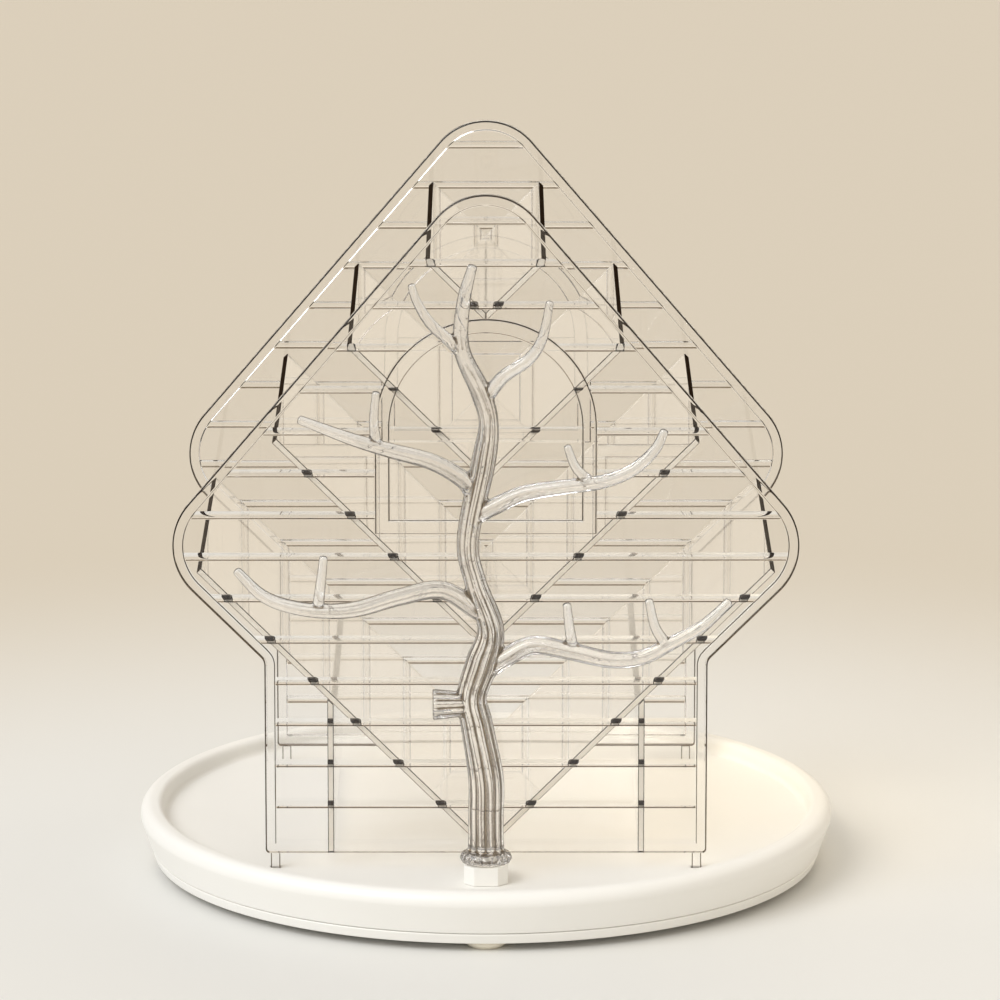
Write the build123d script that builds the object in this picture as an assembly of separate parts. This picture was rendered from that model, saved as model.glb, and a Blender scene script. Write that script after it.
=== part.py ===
from build123d import *
import math
import os

# Rotating makeup organizer: a round tray that turns on a low base, with a clear rack of
# nested V shelves between two gable panels and a clear jewellery tree in front of it.
# Millimetres, +Z up, origin on the table at the centre of the base, front towards -Y.

# Base and feet
foot_diameter = 13.5
foot_height = 3.0
foot_inset = 10.7
foot_count = 4
base_thickness = 3.6

# Glide ring between base and tray
glide_inset = 24.0
glide_width = 12.0
glide_height = 6.4

# Centre pivot
journal_radius = 6.0
journal_clearance = 0.05
bush_wall = 2.0
bush_rise = 0.6
bush_fit = 0.02
pivot_boss_wall = 5.0
pivot_boss_rise = 2.4
hub_wall = 4.0
shoulder_play = 0.3
washer_play = 0.2
washer_radius = 10.0
washer_thickness = 1.0
washer_recess = 2.0
washer_recess_margin = 3.0
screw_shank = 4.0
screw_head = 8.0
screw_head_height = 1.4
screw_bite = 8.0
screw_clearance = 0.05

# Tray
tray_radius = 125.0
wall_lean = 20.0
skirt_wall = 3.0
parting_gap = 0.4
floor_thickness = 4.0
rim_rise = 5.5
rim_width = 8.0
rim_slope = 1.0
rim_outer_round = 4.2
rim_outer_steps = 3
rim_inner_round = 2.6
rim_inner_steps = 2

# Gable panels
panel_thickness = 2.4
panel_half_width = 109.2
side_round = 23.0
apex_round = 22.0
upper_slope = 49.5
neck_half_width = 77.5
neck_height = 75.2
neck_round = 4.0
panel_bottom = 5.5
bottom_round = 1.5
border_width = 3.6
relief = 0.8
rib_first = 8.3
rib_pitch = 14.9
rib_count = 16
rib_height = 2.8
peg_width = 3.3
peg_inset = 1.8
peg_depth = 2.0
peg_clearance = 0.3

# Arched window raised on each panel
window_radius = 33.7
window_centre = 158.7
window_sill = 125.6
window_frame = 4.6
transom_height = 4.7

# V shelves, each with its apex height above the tray floor and its reach to one side
shelf_slope = 45.0
shelf_thickness = 2.2
shelves = ((195.9, 21.0), (138.5, 48.2), (78.5, 74.4), (5.6, 101.0))
tab_height = 2.2
tab_depth = 1.6
tab_clearance = 0.1
tab_margin = 6.0
plate_offset = 54.5
plate_thickness = 2.2

# Tree socket on the tray floor, set in from the floor's edge and out from the panel's face
tree_margin = 26.4
tree_gap = 15.6
socket_width = 15.3
socket_chamfer = 3.5
socket_height = 6.8
socket_bore = 9.0
socket_depth = 5.6

# Jewellery tree
plug_clearance = 0.3
plug_length = 5.0
collar_diameter = 17.6
collar_height = 4.0
collar_edge = 1.2
limb_sides = 8

# Limb tips, as shares of the limb's radius there
tip_reach = 0.7
tip_end = 0.55

# Tree routes as (sideways, forwards, height above the collar, thickness), from root to tip
trunk = (
    (0, 0, 0, 12.0), (0, 0, 13.2, 12.0), (0, 0, 27.2, 12.0), (-3.0, 0, 45.2, 11.0), (-4.8, 0, 56.2, 10.2),
    (-1.2, 0, 68.2, 11.0), (1.7, 0, 80.2, 9.0), (-3.8, 0, 97.2, 7.6), (-6.2, 0, 112.2, 7.6),
    (-0.9, 0, 139.2, 8.4), (0.9, 0, 153.2, 6.8), (-1.8, 0, 164.2, 7.0), (-8.2, 0, 179.2, 5.6),
    (-7.7, 0, 195.2, 4.8), (-4.6, 0, 208.2, 3.4),
)
branches = {
    "cut_stub": ((-4.5, 0, 53.2, 9.4), (-18, 1, 53.2, 10.6)),
    "lower_left": (
        (-2.0, 0, 86.2, 6.6), (-15, 1, 94.2, 6.4), (-30, 3, 92.2, 6.0), (-46, 5, 88.2, 5.6),
        (-62, 7, 88.7, 5.0), (-76, 8, 93.2, 4.4), (-86, 8, 102.7, 3.2),
    ),
    "lower_left_twig": ((-58.2, 6.5, 88.4, 4.2), (-56, 7, 107.2, 3.0)),
    "lower_right": (
        (0.0, 0, 65.2, 7.0), (7, 1, 70.2, 6.8), (16.5, 2, 74.8, 6.6), (29, 4, 73.2, 6.2),
        (43, 6, 70.6, 5.8), (54, 7, 71.6, 5.4), (64, 8, 76.8, 4.8), (75, 8, 83.2, 4.0),
        (84, 8, 91.7, 3.2),
    ),
    "lower_right_fork": ((62.5, 8, 76.2, 4.2), (58.5, 8, 82.7, 3.6), (56.3, 8, 92.2, 3.0)),
    "lower_right_twig": ((30.3, 4.2, 73.4, 4.2), (28, 5.5, 90.2, 3.0)),
    "middle_left": (
        (-4.0, 0, 128.2, 6.4), (-8, 1, 133.7, 6.2), (-18.5, 3, 140.2, 5.8), (-34, 5, 145, 5.2),
        (-47, 6, 149.2, 4.4), (-64, 6, 155.7, 3.2),
    ),
    "middle_left_twig": ((-37.6, 5.2, 145.9, 4.0), (-37.7, 6, 165.2, 2.8)),
    "middle_right": (
        (-5.0, 0, 119.6, 6.2), (3, 1, 124, 6.0), (13, 2.5, 128.8, 5.6), (26, 4, 131.4, 5.2),
        (39.5, 5, 133.4, 4.8), (50, 6, 137.6, 4.4), (58, 6, 144.8, 3.8), (61.5, 6, 151.7, 3.0),
    ),
    "middle_right_twig": ((36.5, 4.8, 133, 4.0), (31, 5.5, 138.7, 3.4), (28, 5.5, 146.2, 2.8)),
    "upper_left": (
        (-7.6, 0, 177.2, 4.4), (-12.5, 1, 182.4, 4.2), (-19, 2, 188.7, 3.8), (-23.5, 3, 196.2, 3.2),
        (-25.5, 3, 202.2, 2.8),
    ),
    "upper_right": (
        (-0.6, 0, 161.2, 5.0), (6, 1, 169.7, 4.6), (14.5, 2, 175.8, 4.2), (19.5, 3, 183.7, 3.6),
        (22, 3, 196.2, 2.8),
    ),
}

# Heights of the stack, from the table up
base_bottom = foot_height
base_top = base_bottom + base_thickness
skirt_bottom = base_top + parting_gap
floor_under = base_top + glide_height
floor_top = floor_under + floor_thickness
rim_top = floor_top + rim_rise
collar_bottom = floor_top + socket_height
collar_top = collar_bottom + collar_height

# Pivot heights and radii
bush_radius = journal_radius + journal_clearance + bush_wall
pivot_boss_radius = bush_radius + pivot_boss_wall
pivot_boss_top = base_top + pivot_boss_rise
bush_top = pivot_boss_top + bush_rise
recess_top = base_bottom + washer_recess
recess_radius = washer_radius + washer_recess_margin
journal_bottom = recess_top - washer_play
hub_radius = journal_radius + hub_wall
hub_bottom = bush_top + shoulder_play

# The outer wall leans in one line over tray and base, and its rounded corner reaches the tray's radius.
lean = math.radians(wall_lean)
rim_corner = tray_radius + rim_outer_round * (math.tan(lean) + 1 / math.cos(lean) - 1)
skirt_radius = rim_corner - (rim_top - skirt_bottom) * math.tan(lean)
skirt_inner = skirt_radius - skirt_wall
base_top_radius = rim_corner - (rim_top - base_top) * math.tan(lean)
base_radius = rim_corner - (rim_top - base_bottom) * math.tan(lean)
foot_circle = base_radius - foot_inset
glide_outer = skirt_inner - glide_inset
glide_inner = glide_outer - glide_width

# The tree stands inside the floor's edge, and the rack fills the depth behind it.
floor_radius = tray_radius - rim_width - rim_slope
tree_offset = floor_radius - tree_margin

# Panel planes
panel_inner = tree_offset - tree_gap - relief - panel_thickness
peg_centre = neck_half_width - peg_inset - peg_width / 2
shelf_rise = math.tan(math.radians(shelf_slope))
shelf_drop = shelf_thickness / math.cos(math.radians(shelf_slope))
rib_heights = [rib_first + rib_pitch * i for i in range(rib_count)]


def turned(*outline):
    """Solid of revolution about the vertical axis, from an outline of (radius, height) points."""
    return revolve(Plane.XZ * make_face(Polyline(*outline, close=True)), Axis.Z)


def post(radius, bottom, top):
    """Upright cylinder about the main axis between two heights."""
    return Pos(0, 0, bottom) * Cylinder(radius, top - bottom, align=(Align.CENTER, Align.CENTER, Align.MIN))


def eased(before, corner, after, radius, steps):
    """Points that round a corner of an outline by flat steps along an arc."""
    before, corner, after = Vector(*before), Vector(*corner), Vector(*after)
    back = (before - corner).normalized()
    ahead = (after - corner).normalized()
    half = math.radians(back.get_angle(ahead) / 2)
    centre = corner + (back + ahead).normalized() * (radius / math.sin(half))
    spoke = corner + back * (radius / math.tan(half)) - centre
    last_spoke = corner + ahead * (radius / math.tan(half)) - centre
    turn = spoke.get_signed_angle(last_spoke, Vector(0, 0, 1))
    points = [centre + spoke.rotate(Axis.Z, turn * i / steps) for i in range(steps + 1)]
    return [(point.X, point.Y) for point in points]


def rounded(face, *corners):
    """Round the corners of a flat outline, each given as (x, y, radius)."""
    for x, y, radius in corners:
        face = fillet(face.vertices().sort_by_distance((x, y, 0))[0], radius)
    return face


# Base body

def foot_places():
    """Places of the feet, the first one at the front."""
    return PolarLocations(foot_circle, foot_count, start_angle=-90)


def make_base_plate():
    plate = turned((0, base_bottom), (base_radius, base_bottom), (base_top_radius, base_top), (0, base_top))
    plate += post(pivot_boss_radius, base_top, pivot_boss_top)
    plate -= post(recess_radius, base_bottom, recess_top)
    return plate - post(bush_radius + bush_fit, recess_top, pivot_boss_top)


def make_foot_pads():
    return [place * post(foot_diameter / 2, 0, foot_height) for place in foot_places()]


def make_glide_ring():
    return post(glide_outer, base_top, floor_under) - post(glide_inner, base_top, floor_under)


def make_pivot_bush():
    bore = post(journal_radius + journal_clearance, recess_top, bush_top)
    return post(bush_radius, recess_top, bush_top) - bore


# Turntable body

def make_tray():
    outer_corner = (rim_corner, rim_top)
    inner_corner = (tray_radius - rim_width, rim_top)
    floor_edge = (floor_radius, floor_top)
    tray = turned(
        (0, floor_under), (skirt_inner, floor_under),
        (skirt_inner, skirt_bottom), (skirt_radius, skirt_bottom),
        *eased((skirt_radius, skirt_bottom), outer_corner, inner_corner, rim_outer_round, rim_outer_steps),
        *eased(outer_corner, inner_corner, floor_edge, rim_inner_round, rim_inner_steps),
        floor_edge, (0, floor_top))
    tray += post(hub_radius, hub_bottom, floor_under)
    tray += post(journal_radius, journal_bottom, hub_bottom)
    tray -= post(screw_shank / 2 + screw_clearance, journal_bottom, journal_bottom + screw_bite)
    for x in (-peg_centre, peg_centre):
        for side in (-1, 1):
            tray -= Pos(x, side * (panel_inner + panel_thickness / 2), floor_top) * Box(
                peg_width + 2 * peg_clearance, panel_thickness + 2 * peg_clearance, peg_depth,
                align=(Align.CENTER, Align.CENTER, Align.MAX))
    return tray


def make_pivot_washer():
    washer_bottom = journal_bottom - washer_thickness
    hole = post(screw_shank / 2 + screw_clearance, washer_bottom, journal_bottom)
    return post(washer_radius, washer_bottom, journal_bottom) - hole


def make_pivot_screw():
    head_top = journal_bottom - washer_thickness
    shank = post(screw_shank / 2, head_top, journal_bottom + screw_bite)
    return shank + post(screw_head / 2, head_top - screw_head_height, head_top)


def make_tree_socket():
    block = extrude(chamfer(Rectangle(socket_width, socket_width).vertices(), socket_chamfer), socket_height)
    block -= post(socket_bore / 2, socket_height - socket_depth, socket_height)
    return Pos(0, -tree_offset, floor_top) * block


# Rack body

def gable_outline():
    """Outline of a gable panel, as (sideways, height above the tray floor)."""
    steep = math.radians(upper_slope)
    low = math.radians(shelf_slope)
    # The side corner's arc touches the lower edge and reaches the panel's half width.
    arc_x = panel_half_width - side_round
    arc_z = neck_height + (arc_x - neck_half_width) * math.tan(low) + side_round / math.cos(low)
    apex_z = arc_z + (side_round + arc_x * math.sin(steep)) / math.cos(steep)
    # The straight upper and lower edges cross outside that arc.
    side_x = (apex_z - neck_height + neck_half_width * math.tan(low)) / (math.tan(steep) + math.tan(low))
    side_z = apex_z - side_x * math.tan(steep)
    right = [(neck_half_width, panel_bottom), (neck_half_width, neck_height), (side_x, side_z)]
    left = [(-x, z) for x, z in reversed(right)]
    outline = make_face(Polyline(*right, (0, apex_z), *left, close=True))
    corners = [(0, apex_z, apex_round)]
    for side in (-1, 1):
        corners.append((side * side_x, side_z, side_round))
        corners.append((side * neck_half_width, neck_height, neck_round))
        corners.append((side * neck_half_width, panel_bottom, bottom_round))
    return rounded(outline, *corners)


def arched(radius, sill):
    """Half disc above the window's centre height, with straight sides down to a sill."""
    disc = Pos(0, window_centre) * Circle(radius)
    body = Pos(0, sill) * Rectangle(2 * radius, window_centre - sill, align=(Align.CENTER, Align.MIN))
    above = Pos(0, window_centre) * Rectangle(2 * radius, radius, align=(Align.CENTER, Align.MIN))
    return (disc & above) + body


def sunk_fields(outline):
    """Fields of the outer face that lie deeper than its border, ribs and window frame."""
    ribs = [Pos(0, z) * Rectangle(2 * panel_half_width, rib_height) for z in rib_heights]
    frame = arched(window_radius + window_frame, window_sill - window_frame)
    transom = Pos(0, window_centre) * Rectangle(
        2 * window_radius, transom_height, align=(Align.CENTER, Align.MAX))
    panes = arched(window_radius, window_sill) - transom
    return offset(outline, -border_width) - ribs - frame + panes


def arm_band(apex, low, high, grow):
    """Cross-section of a right-hand shelf arm between two heights, grown by a clearance."""
    under = apex - grow / math.cos(math.radians(shelf_slope))
    over = apex + shelf_drop + grow / math.cos(math.radians(shelf_slope))
    corners = ((under, low), (under, high), (over, high), (over, low))
    points = [((z - level) / shelf_rise, z) for level, z in corners]
    return make_face(Polyline(*points, close=True))


def plate_band(low, high, grow):
    """Cross-section of the right-hand side plate between two heights, grown by a clearance."""
    width = plate_thickness + 2 * grow
    return Pos(plate_offset, low) * Rectangle(width, high - low, align=(Align.CENTER, Align.MIN))


def tab_ribs(low, high):
    """Heights of the ribs that hold a tab of a piece reaching from low to high."""
    return [z for z in rib_heights if low + tab_margin < z < high - tab_margin]


def arm_tabs(apex, reach, grow):
    half = tab_height / 2 + grow
    ribs = tab_ribs(apex, apex + reach * shelf_rise)
    return [arm_band(apex, z - half, z + half, grow) for z in ribs]


def plate_tabs(grow):
    half = tab_height / 2 + grow
    ribs = tab_ribs(panel_bottom, shelves[-1][0] + plate_offset * shelf_rise)
    return [plate_band(z - half, z + half, grow) for z in ribs]


def make_front_panel():
    outline = gable_outline()
    inner_face = Pos(0, 0, floor_top) * Plane.XZ.offset(panel_inner).location
    field_face = Pos(0, 0, floor_top) * Plane.XZ.offset(panel_inner + panel_thickness).location
    panel = extrude(inner_face * outline, panel_thickness + relief)
    panel -= extrude(field_face * sunk_fields(outline), relief)
    pegs = Sketch() + [Pos(x, -peg_depth) * Rectangle(peg_width, peg_depth + panel_bottom + border_width,
                                                      align=(Align.CENTER, Align.MIN))
                       for x in (-peg_centre, peg_centre)]
    panel += extrude(inner_face * pegs, panel_thickness)
    pockets = plate_tabs(tab_clearance)
    for apex, reach in shelves:
        pockets += arm_tabs(apex, reach, tab_clearance)
    right = extrude(inner_face * (Sketch() + pockets), tab_depth + tab_clearance)
    return panel - right - mirror(right, Plane.YZ)


def make_shelf_arm(apex, reach):
    """Right-hand arm of a V shelf, mitred at the apex, with tabs at both ends."""
    slope = math.radians(shelf_slope)
    end = apex + reach * shelf_rise
    lip = (reach - shelf_thickness * math.sin(slope), end + shelf_thickness * math.cos(slope))
    profile = make_face(Polyline((0, apex), (reach, end), lip, (0, apex + shelf_drop), close=True))
    return between_panels(profile, arm_tabs(apex, reach, 0))


def make_side_plate():
    """Right-hand plate that carries the lowest shelf, mitred to its underside."""
    inner = plate_offset - plate_thickness / 2
    outer = plate_offset + plate_thickness / 2
    carried = shelves[-1][0]
    profile = make_face(Polyline(
        (inner, panel_bottom), (outer, panel_bottom), (outer, carried + outer * shelf_rise),
        (inner, carried + inner * shelf_rise), close=True))
    return between_panels(profile, plate_tabs(0))


def between_panels(profile, tabs):
    """Carry a cross-section from panel to panel, with its tabs running into both."""
    middle = Pos(0, 0, floor_top) * Plane.XZ.location
    body = extrude(middle * profile, panel_inner, both=True)
    for tab in tabs:
        body += extrude(middle * tab, panel_inner + tab_depth, both=True)
    return body


# Tree body

def limb(route, cut_off=False):
    """Tapering many-sided limb along a route, with an eased tip unless it is cut off."""
    points = [Vector(x, -tree_offset - forward, collar_top + height) for x, forward, height, _ in route]
    sections = []
    for i, point in enumerate(points):
        along = (points[min(i + 1, len(points) - 1)] - points[max(i - 1, 0)]).normalized()
        across = (Vector(0, 1, 0) - along * along.Y).normalized()
        place = Plane(point, x_dir=across, z_dir=along)
        radius = route[i][-1] / 2
        sections.append(place * RegularPolygon(radius, limb_sides))
    if not cut_off:
        sections.append(place.offset(tip_reach * radius) * RegularPolygon(tip_end * radius, limb_sides))
    return loft(sections, ruled=True)


def make_jewellery_tree():
    collar = post(collar_diameter / 2, collar_bottom, collar_top)
    collar = chamfer(collar.edges().filter_by(GeomType.CIRCLE), collar_edge)
    plug = post(socket_bore / 2 - plug_clearance, collar_bottom - plug_length, collar_bottom)
    tree = Pos(0, -tree_offset) * (collar + plug) + limb(trunk)
    for name, route in branches.items():
        tree += limb(route, cut_off=name == "cut_stub")
    return tree


nodes = {
    "base_plate": make_base_plate(),
    "foot_pads": make_foot_pads(),
    "glide_ring": make_glide_ring(),
    "pivot_bush": make_pivot_bush(),
    "tray": make_tray(),
    "pivot_washer": make_pivot_washer(),
    "pivot_screw": make_pivot_screw(),
    "tree_socket": make_tree_socket(),
    "jewellery_tree": make_jewellery_tree(),
    "front_panel": make_front_panel(),
    "side_plate_right": make_side_plate(),
}
nodes["back_panel"] = Rot(0, 0, 180) * nodes["front_panel"]
nodes["side_plate_left"] = mirror(nodes["side_plate_right"], Plane.YZ)
for number, (apex, reach) in enumerate(shelves, start=1):
    arm = make_shelf_arm(apex, reach)
    nodes[f"shelf_{number}_right"] = arm
    nodes[f"shelf_{number}_left"] = mirror(arm, Plane.YZ)

os.makedirs("parts", exist_ok=True)
for name, shape in nodes.items():
    solid = Compound(children=list(shape)) if isinstance(shape, list) else shape
    export_step(solid, f"parts/{name}.step")
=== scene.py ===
import math

import bmesh
import bpy
import numpy as np
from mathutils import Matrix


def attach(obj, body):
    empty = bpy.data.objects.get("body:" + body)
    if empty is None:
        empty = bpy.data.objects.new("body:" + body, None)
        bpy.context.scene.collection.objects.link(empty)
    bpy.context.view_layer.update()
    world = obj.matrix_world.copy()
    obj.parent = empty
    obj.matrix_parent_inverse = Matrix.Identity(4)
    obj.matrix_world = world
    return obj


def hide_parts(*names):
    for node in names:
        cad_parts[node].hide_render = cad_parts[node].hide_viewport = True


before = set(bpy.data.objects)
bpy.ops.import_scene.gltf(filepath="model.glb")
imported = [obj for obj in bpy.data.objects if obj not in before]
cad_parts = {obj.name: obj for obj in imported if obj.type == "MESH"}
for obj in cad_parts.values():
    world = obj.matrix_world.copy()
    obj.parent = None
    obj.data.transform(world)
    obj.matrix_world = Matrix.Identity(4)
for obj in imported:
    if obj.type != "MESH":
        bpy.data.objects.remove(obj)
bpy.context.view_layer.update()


# Base plate: the low round dish that stays still under the turning tray.
# It is moulded in cream ABS with a satin skin, with a boss in its middle for the pivot's bush.

def rounded(corners, radii, steps=6):
    """Closed outline with its corners swept round. Each corner's arc has its centre on the corner's
    bisector, at radius / sin(half the angle), and turns in equal steps from side to side.
    Gives the outline's points and, for each, the direction straight out of the arc."""
    corner = np.array(corners, float)
    radius = np.maximum(np.broadcast_to(np.array(radii, float), len(corner)), 1e-4)
    back = np.roll(corner, 1, 0) - corner
    ahead = np.roll(corner, -1, 0) - corner
    back /= np.linalg.norm(back, axis=1)[:, None]
    ahead /= np.linalg.norm(ahead, axis=1)[:, None]
    half = np.arccos(np.clip((back * ahead).sum(1), -1, 1)) / 2
    inward = (back + ahead) / np.linalg.norm(back + ahead, axis=1)[:, None]
    centre = corner + inward * (radius / np.sin(half))[:, None]
    first = corner + back * (radius / np.tan(half))[:, None] - centre
    last = corner + ahead * (radius / np.tan(half))[:, None] - centre
    turn = np.arctan2(first[:, 0] * last[:, 1] - first[:, 1] * last[:, 0], (first * last).sum(1))
    angle = np.arctan2(first[:, 1], first[:, 0])[:, None] + turn[:, None] * np.linspace(0, 1, steps + 1)
    spoke = np.stack([np.cos(angle), np.sin(angle)], -1)
    points = centre[:, None] + radius[:, None, None] * spoke
    return points.reshape(-1, 2), spoke.reshape(-1, 2)


def faces_between(rows, columns, round_rows=False, round_columns=False):
    """Corner numbers of the four-sided faces between neighbouring points of a grid, closed round where
    asked."""
    number = np.arange(rows * columns).reshape(rows, columns)
    if round_rows:
        number = np.vstack([number, number[:1]])
    if round_columns:
        number = np.hstack([number, number[:, :1]])
    corners = [number[:-1, :-1], number[1:, :-1], number[1:, 1:], number[:-1, 1:]]
    return np.stack(corners, -1).reshape(-1, 4)


def turned(outline, sides=240):
    """Surface of revolution: the outline's point (r, z) goes round the axis at (r cos a, r sin a, z)."""
    outline = np.array(outline, float)
    angle = np.arange(sides) * 2 * math.pi / sides
    x = outline[:, :1] * np.cos(angle)
    y = outline[:, :1] * np.sin(angle)
    z = np.repeat(outline[:, 1:], sides, 1)
    return np.stack([x, y, z], -1).reshape(-1, 3), faces_between(len(outline), sides, True, True)


def piece(name, points, faces, materials, body, slot, *nodes, marked=None):
    """New piece from points in millimetres and face corners: doubles merged, faces turned outwards, riding
    on its body in place of its CAD nodes. Marks give each face its place in the list of materials. It is
    shaded smooth, and normals weighted by area keep the flats flat beside rounded edges."""
    mesh = bpy.data.meshes.new(name)
    mesh.from_pydata((points / 1000).tolist(), [], faces.tolist())
    if marked is not None:
        mesh.polygons.foreach_set("material_index", marked.astype(int).tolist())
    work = bmesh.new()
    work.from_mesh(mesh)
    bmesh.ops.remove_doubles(work, verts=work.verts, dist=2e-6)
    bmesh.ops.dissolve_degenerate(work, edges=work.edges, dist=1e-6)
    bmesh.ops.recalc_face_normals(work, faces=work.faces)
    work.to_mesh(mesh)
    work.free()
    mesh.polygons.foreach_set("use_smooth", [True] * len(mesh.polygons))
    for material in materials:
        mesh.materials.append(material)
    made = bpy.data.objects.new(name, mesh)
    made.modifiers.new("flats", "WEIGHTED_NORMAL")
    bpy.context.scene.collection.objects.link(made)
    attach(made, body)
    if nodes:
        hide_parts(*nodes)
    return made


def linear(hex_colour):
    """sRGB hex colour as linear light, with full opacity."""
    part = np.array([int(hex_colour[i:i + 2], 16) / 255 for i in (1, 3, 5)])
    light = np.where(part <= 0.04045, part / 12.92, ((part + 0.055) / 1.055) ** 2.4)
    return (*light.tolist(), 1.0)


def node(owner, kind, values=None, links=None, **settings):
    """Adds one shader node: its settings, its plain socket values and its links from other sockets."""
    made = owner.node_tree.nodes.new(kind)
    for key, value in settings.items():
        setattr(made, key, value)
    for key, value in (values or {}).items():
        made.inputs[key].default_value = value
    for key, source in (links or {}).items():
        owner.node_tree.links.new(source, made.inputs[key])
    return made


def finish_called(name):
    """New material with an empty node tree."""
    made = bpy.data.materials.new(name)
    made.use_nodes = True
    made.node_tree.nodes.clear()
    return made


# ABS moulded in a lightly spark-eroded mould: soft satin gloss, a hint of flow clouds in the cream,
# and a fine grain. The real grain is about 0.1 mm and is drawn at 0.5 mm so that it shows.
cream_abs = finish_called("cream_abs_satin")
place = node(cream_abs, "ShaderNodeTexCoord")
clouds = node(cream_abs, "ShaderNodeTexNoise", {"Scale": 1 / 0.045, "Detail": 2.0},
              {"Vector": place.outputs["Object"]})
cream = node(cream_abs, "ShaderNodeMix", {"A": linear("#F3F1EB"), "B": linear("#F7F5F0")},
             {"Factor": clouds.outputs["Fac"]}, data_type="RGBA")
grain = node(cream_abs, "ShaderNodeTexNoise", {"Scale": 1 / 0.0005, "Detail": 3.0},
             {"Vector": place.outputs["Object"]})
gloss = node(cream_abs, "ShaderNodeMapRange", {"To Min": 0.32, "To Max": 0.44},
             {"Value": grain.outputs["Fac"]})
skin = node(cream_abs, "ShaderNodeBump", {"Strength": 0.06, "Distance": 0.0001},
            {"Height": grain.outputs["Fac"]})
plastic = node(cream_abs, "ShaderNodeBsdfPrincipled", {"IOR": 1.54},
               {"Base Color": cream.outputs["Result"], "Roughness": gloss.outputs["Result"],
                "Normal": skin.outputs["Normal"]})
node(cream_abs, "ShaderNodeOutputMaterial", links={"Surface": plastic.outputs["BSDF"]})

base_outline = [(13.0, 3.0), (119.65, 3.0), (121.0, 6.78), (13.05, 6.78),
                (13.05, 9.0), (8.07, 9.0), (8.07, 5.0), (13.0, 5.0)]
base_rounds = [0.3, 0.5, 0.5, 0.4, 0.4, 0.2, 0.2, 0.2]
piece("base_dish", *turned(rounded(base_outline, base_rounds)[0]), [cream_abs],
      "base", "cream_plastic", "base_plate")


# Feet: four low pads stuck under the base, so that it doesn't slide.
# They are pale thermoplastic rubber, moulded as shallow domes with a flat sole.

pale_rubber = finish_called("pale_rubber_moulded")
place = node(pale_rubber, "ShaderNodeTexCoord")
bloom = node(pale_rubber, "ShaderNodeTexNoise", {"Scale": 1 / 0.002, "Detail": 3.0},
             {"Vector": place.outputs["Object"]})
tone = node(pale_rubber, "ShaderNodeMix", {"A": linear("#EDE6D6"), "B": linear("#E6DECB")},
            {"Factor": bloom.outputs["Fac"]}, data_type="RGBA")
matt = node(pale_rubber, "ShaderNodeMapRange", {"To Min": 0.48, "To Max": 0.62},
            {"Value": bloom.outputs["Fac"]})
rubber = node(pale_rubber, "ShaderNodeBsdfPrincipled", {"IOR": 1.5},
              {"Base Color": tone.outputs["Result"], "Roughness": matt.outputs["Result"]})
node(pale_rubber, "ShaderNodeOutputMaterial", links={"Surface": rubber.outputs["BSDF"]})

foot_outline = [(0.0, 0.0), (6.0, 0.0), (7.8, 1.6), (7.8, 2.98), (0.0, 2.98)]
foot_rounds = [0, 0.9, 1.0, 0.2, 0]
foot_circle = 110.6
foot_count = 4
foot_points, foot_faces = turned(rounded(foot_outline, foot_rounds)[0], 48)
foot_turn = np.arange(foot_count) * 2 * math.pi / foot_count
foot_centres = foot_circle * np.stack([np.sin(foot_turn), -np.cos(foot_turn), 0 * foot_turn], -1)
feet_points = (foot_points + foot_centres[:, None]).reshape(-1, 3)
feet_faces = (foot_faces + len(foot_points) * np.arange(foot_count)[:, None, None]).reshape(-1, 4)
piece("feet", feet_points, feet_faces, [pale_rubber], "base", "pale_rubber", "foot_pads")


# Glide ring and pivot bush: natural white acetal rings, turned and pressed into the base.
# The tray slides on the ring and turns in the bush, so both have a waxy, faintly milky face.

acetal = finish_called("white_acetal_turned")
place = node(acetal, "ShaderNodeTexCoord")
milk = node(acetal, "ShaderNodeTexNoise", {"Scale": 1 / 0.006, "Detail": 2.0},
            {"Vector": place.outputs["Object"]})
waxy = node(acetal, "ShaderNodeMix", {"A": linear("#F2F1EC"), "B": linear("#E9E8E2")},
            {"Factor": milk.outputs["Fac"]}, data_type="RGBA")
turning = node(acetal, "ShaderNodeTexWave", {"Scale": 1 / 0.0016, "Distortion": 0.0},
               {"Vector": place.outputs["Object"]}, wave_type="RINGS", rings_direction="Z")
marks = node(acetal, "ShaderNodeBump", {"Strength": 0.08, "Distance": 0.0001},
             {"Height": turning.outputs["Fac"]})
wax = node(acetal, "ShaderNodeBsdfPrincipled", {"IOR": 1.48, "Roughness": 0.34},
           {"Base Color": waxy.outputs["Result"], "Normal": marks.outputs["Normal"]})
node(acetal, "ShaderNodeOutputMaterial", links={"Surface": wax.outputs["BSDF"]})
for name in ("glide_ring", "pivot_bush"):
    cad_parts[name].data.materials.clear()
    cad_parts[name].data.materials.append(acetal)


# Tray: the cream dish that turns by hand, with a fat rounded rim that leans out to its lip.
# It is one ABS moulding with the pivot's journal under it and four slots in its floor for the rack.

floor_top = 17.0
rim_top = 22.5
tray_outline = [(0, floor_top), (115.9, floor_top), (116.9, rim_top), (126.55, rim_top), (121.0, 7.0),
                (118.2, 7.0), (118.2, 13.0), (10.0, 13.0), (10.0, 9.9), (6.0, 9.9), (6.0, 4.8),
                (2.05, 4.8), (2.05, 12.8), (0, 12.8)]
tray_rounds = [0, 2.2, 2.6, 4.2, 0.5, 0.5, 0.8, 1.0, 0.5, 0.3, 0.3, 0.1, 0.1, 0]
tray = piece("tray_dish", *turned(rounded(tray_outline, tray_rounds, 10)[0], 360), [cream_abs],
             "turntable", "cream_plastic", "tray")


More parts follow.
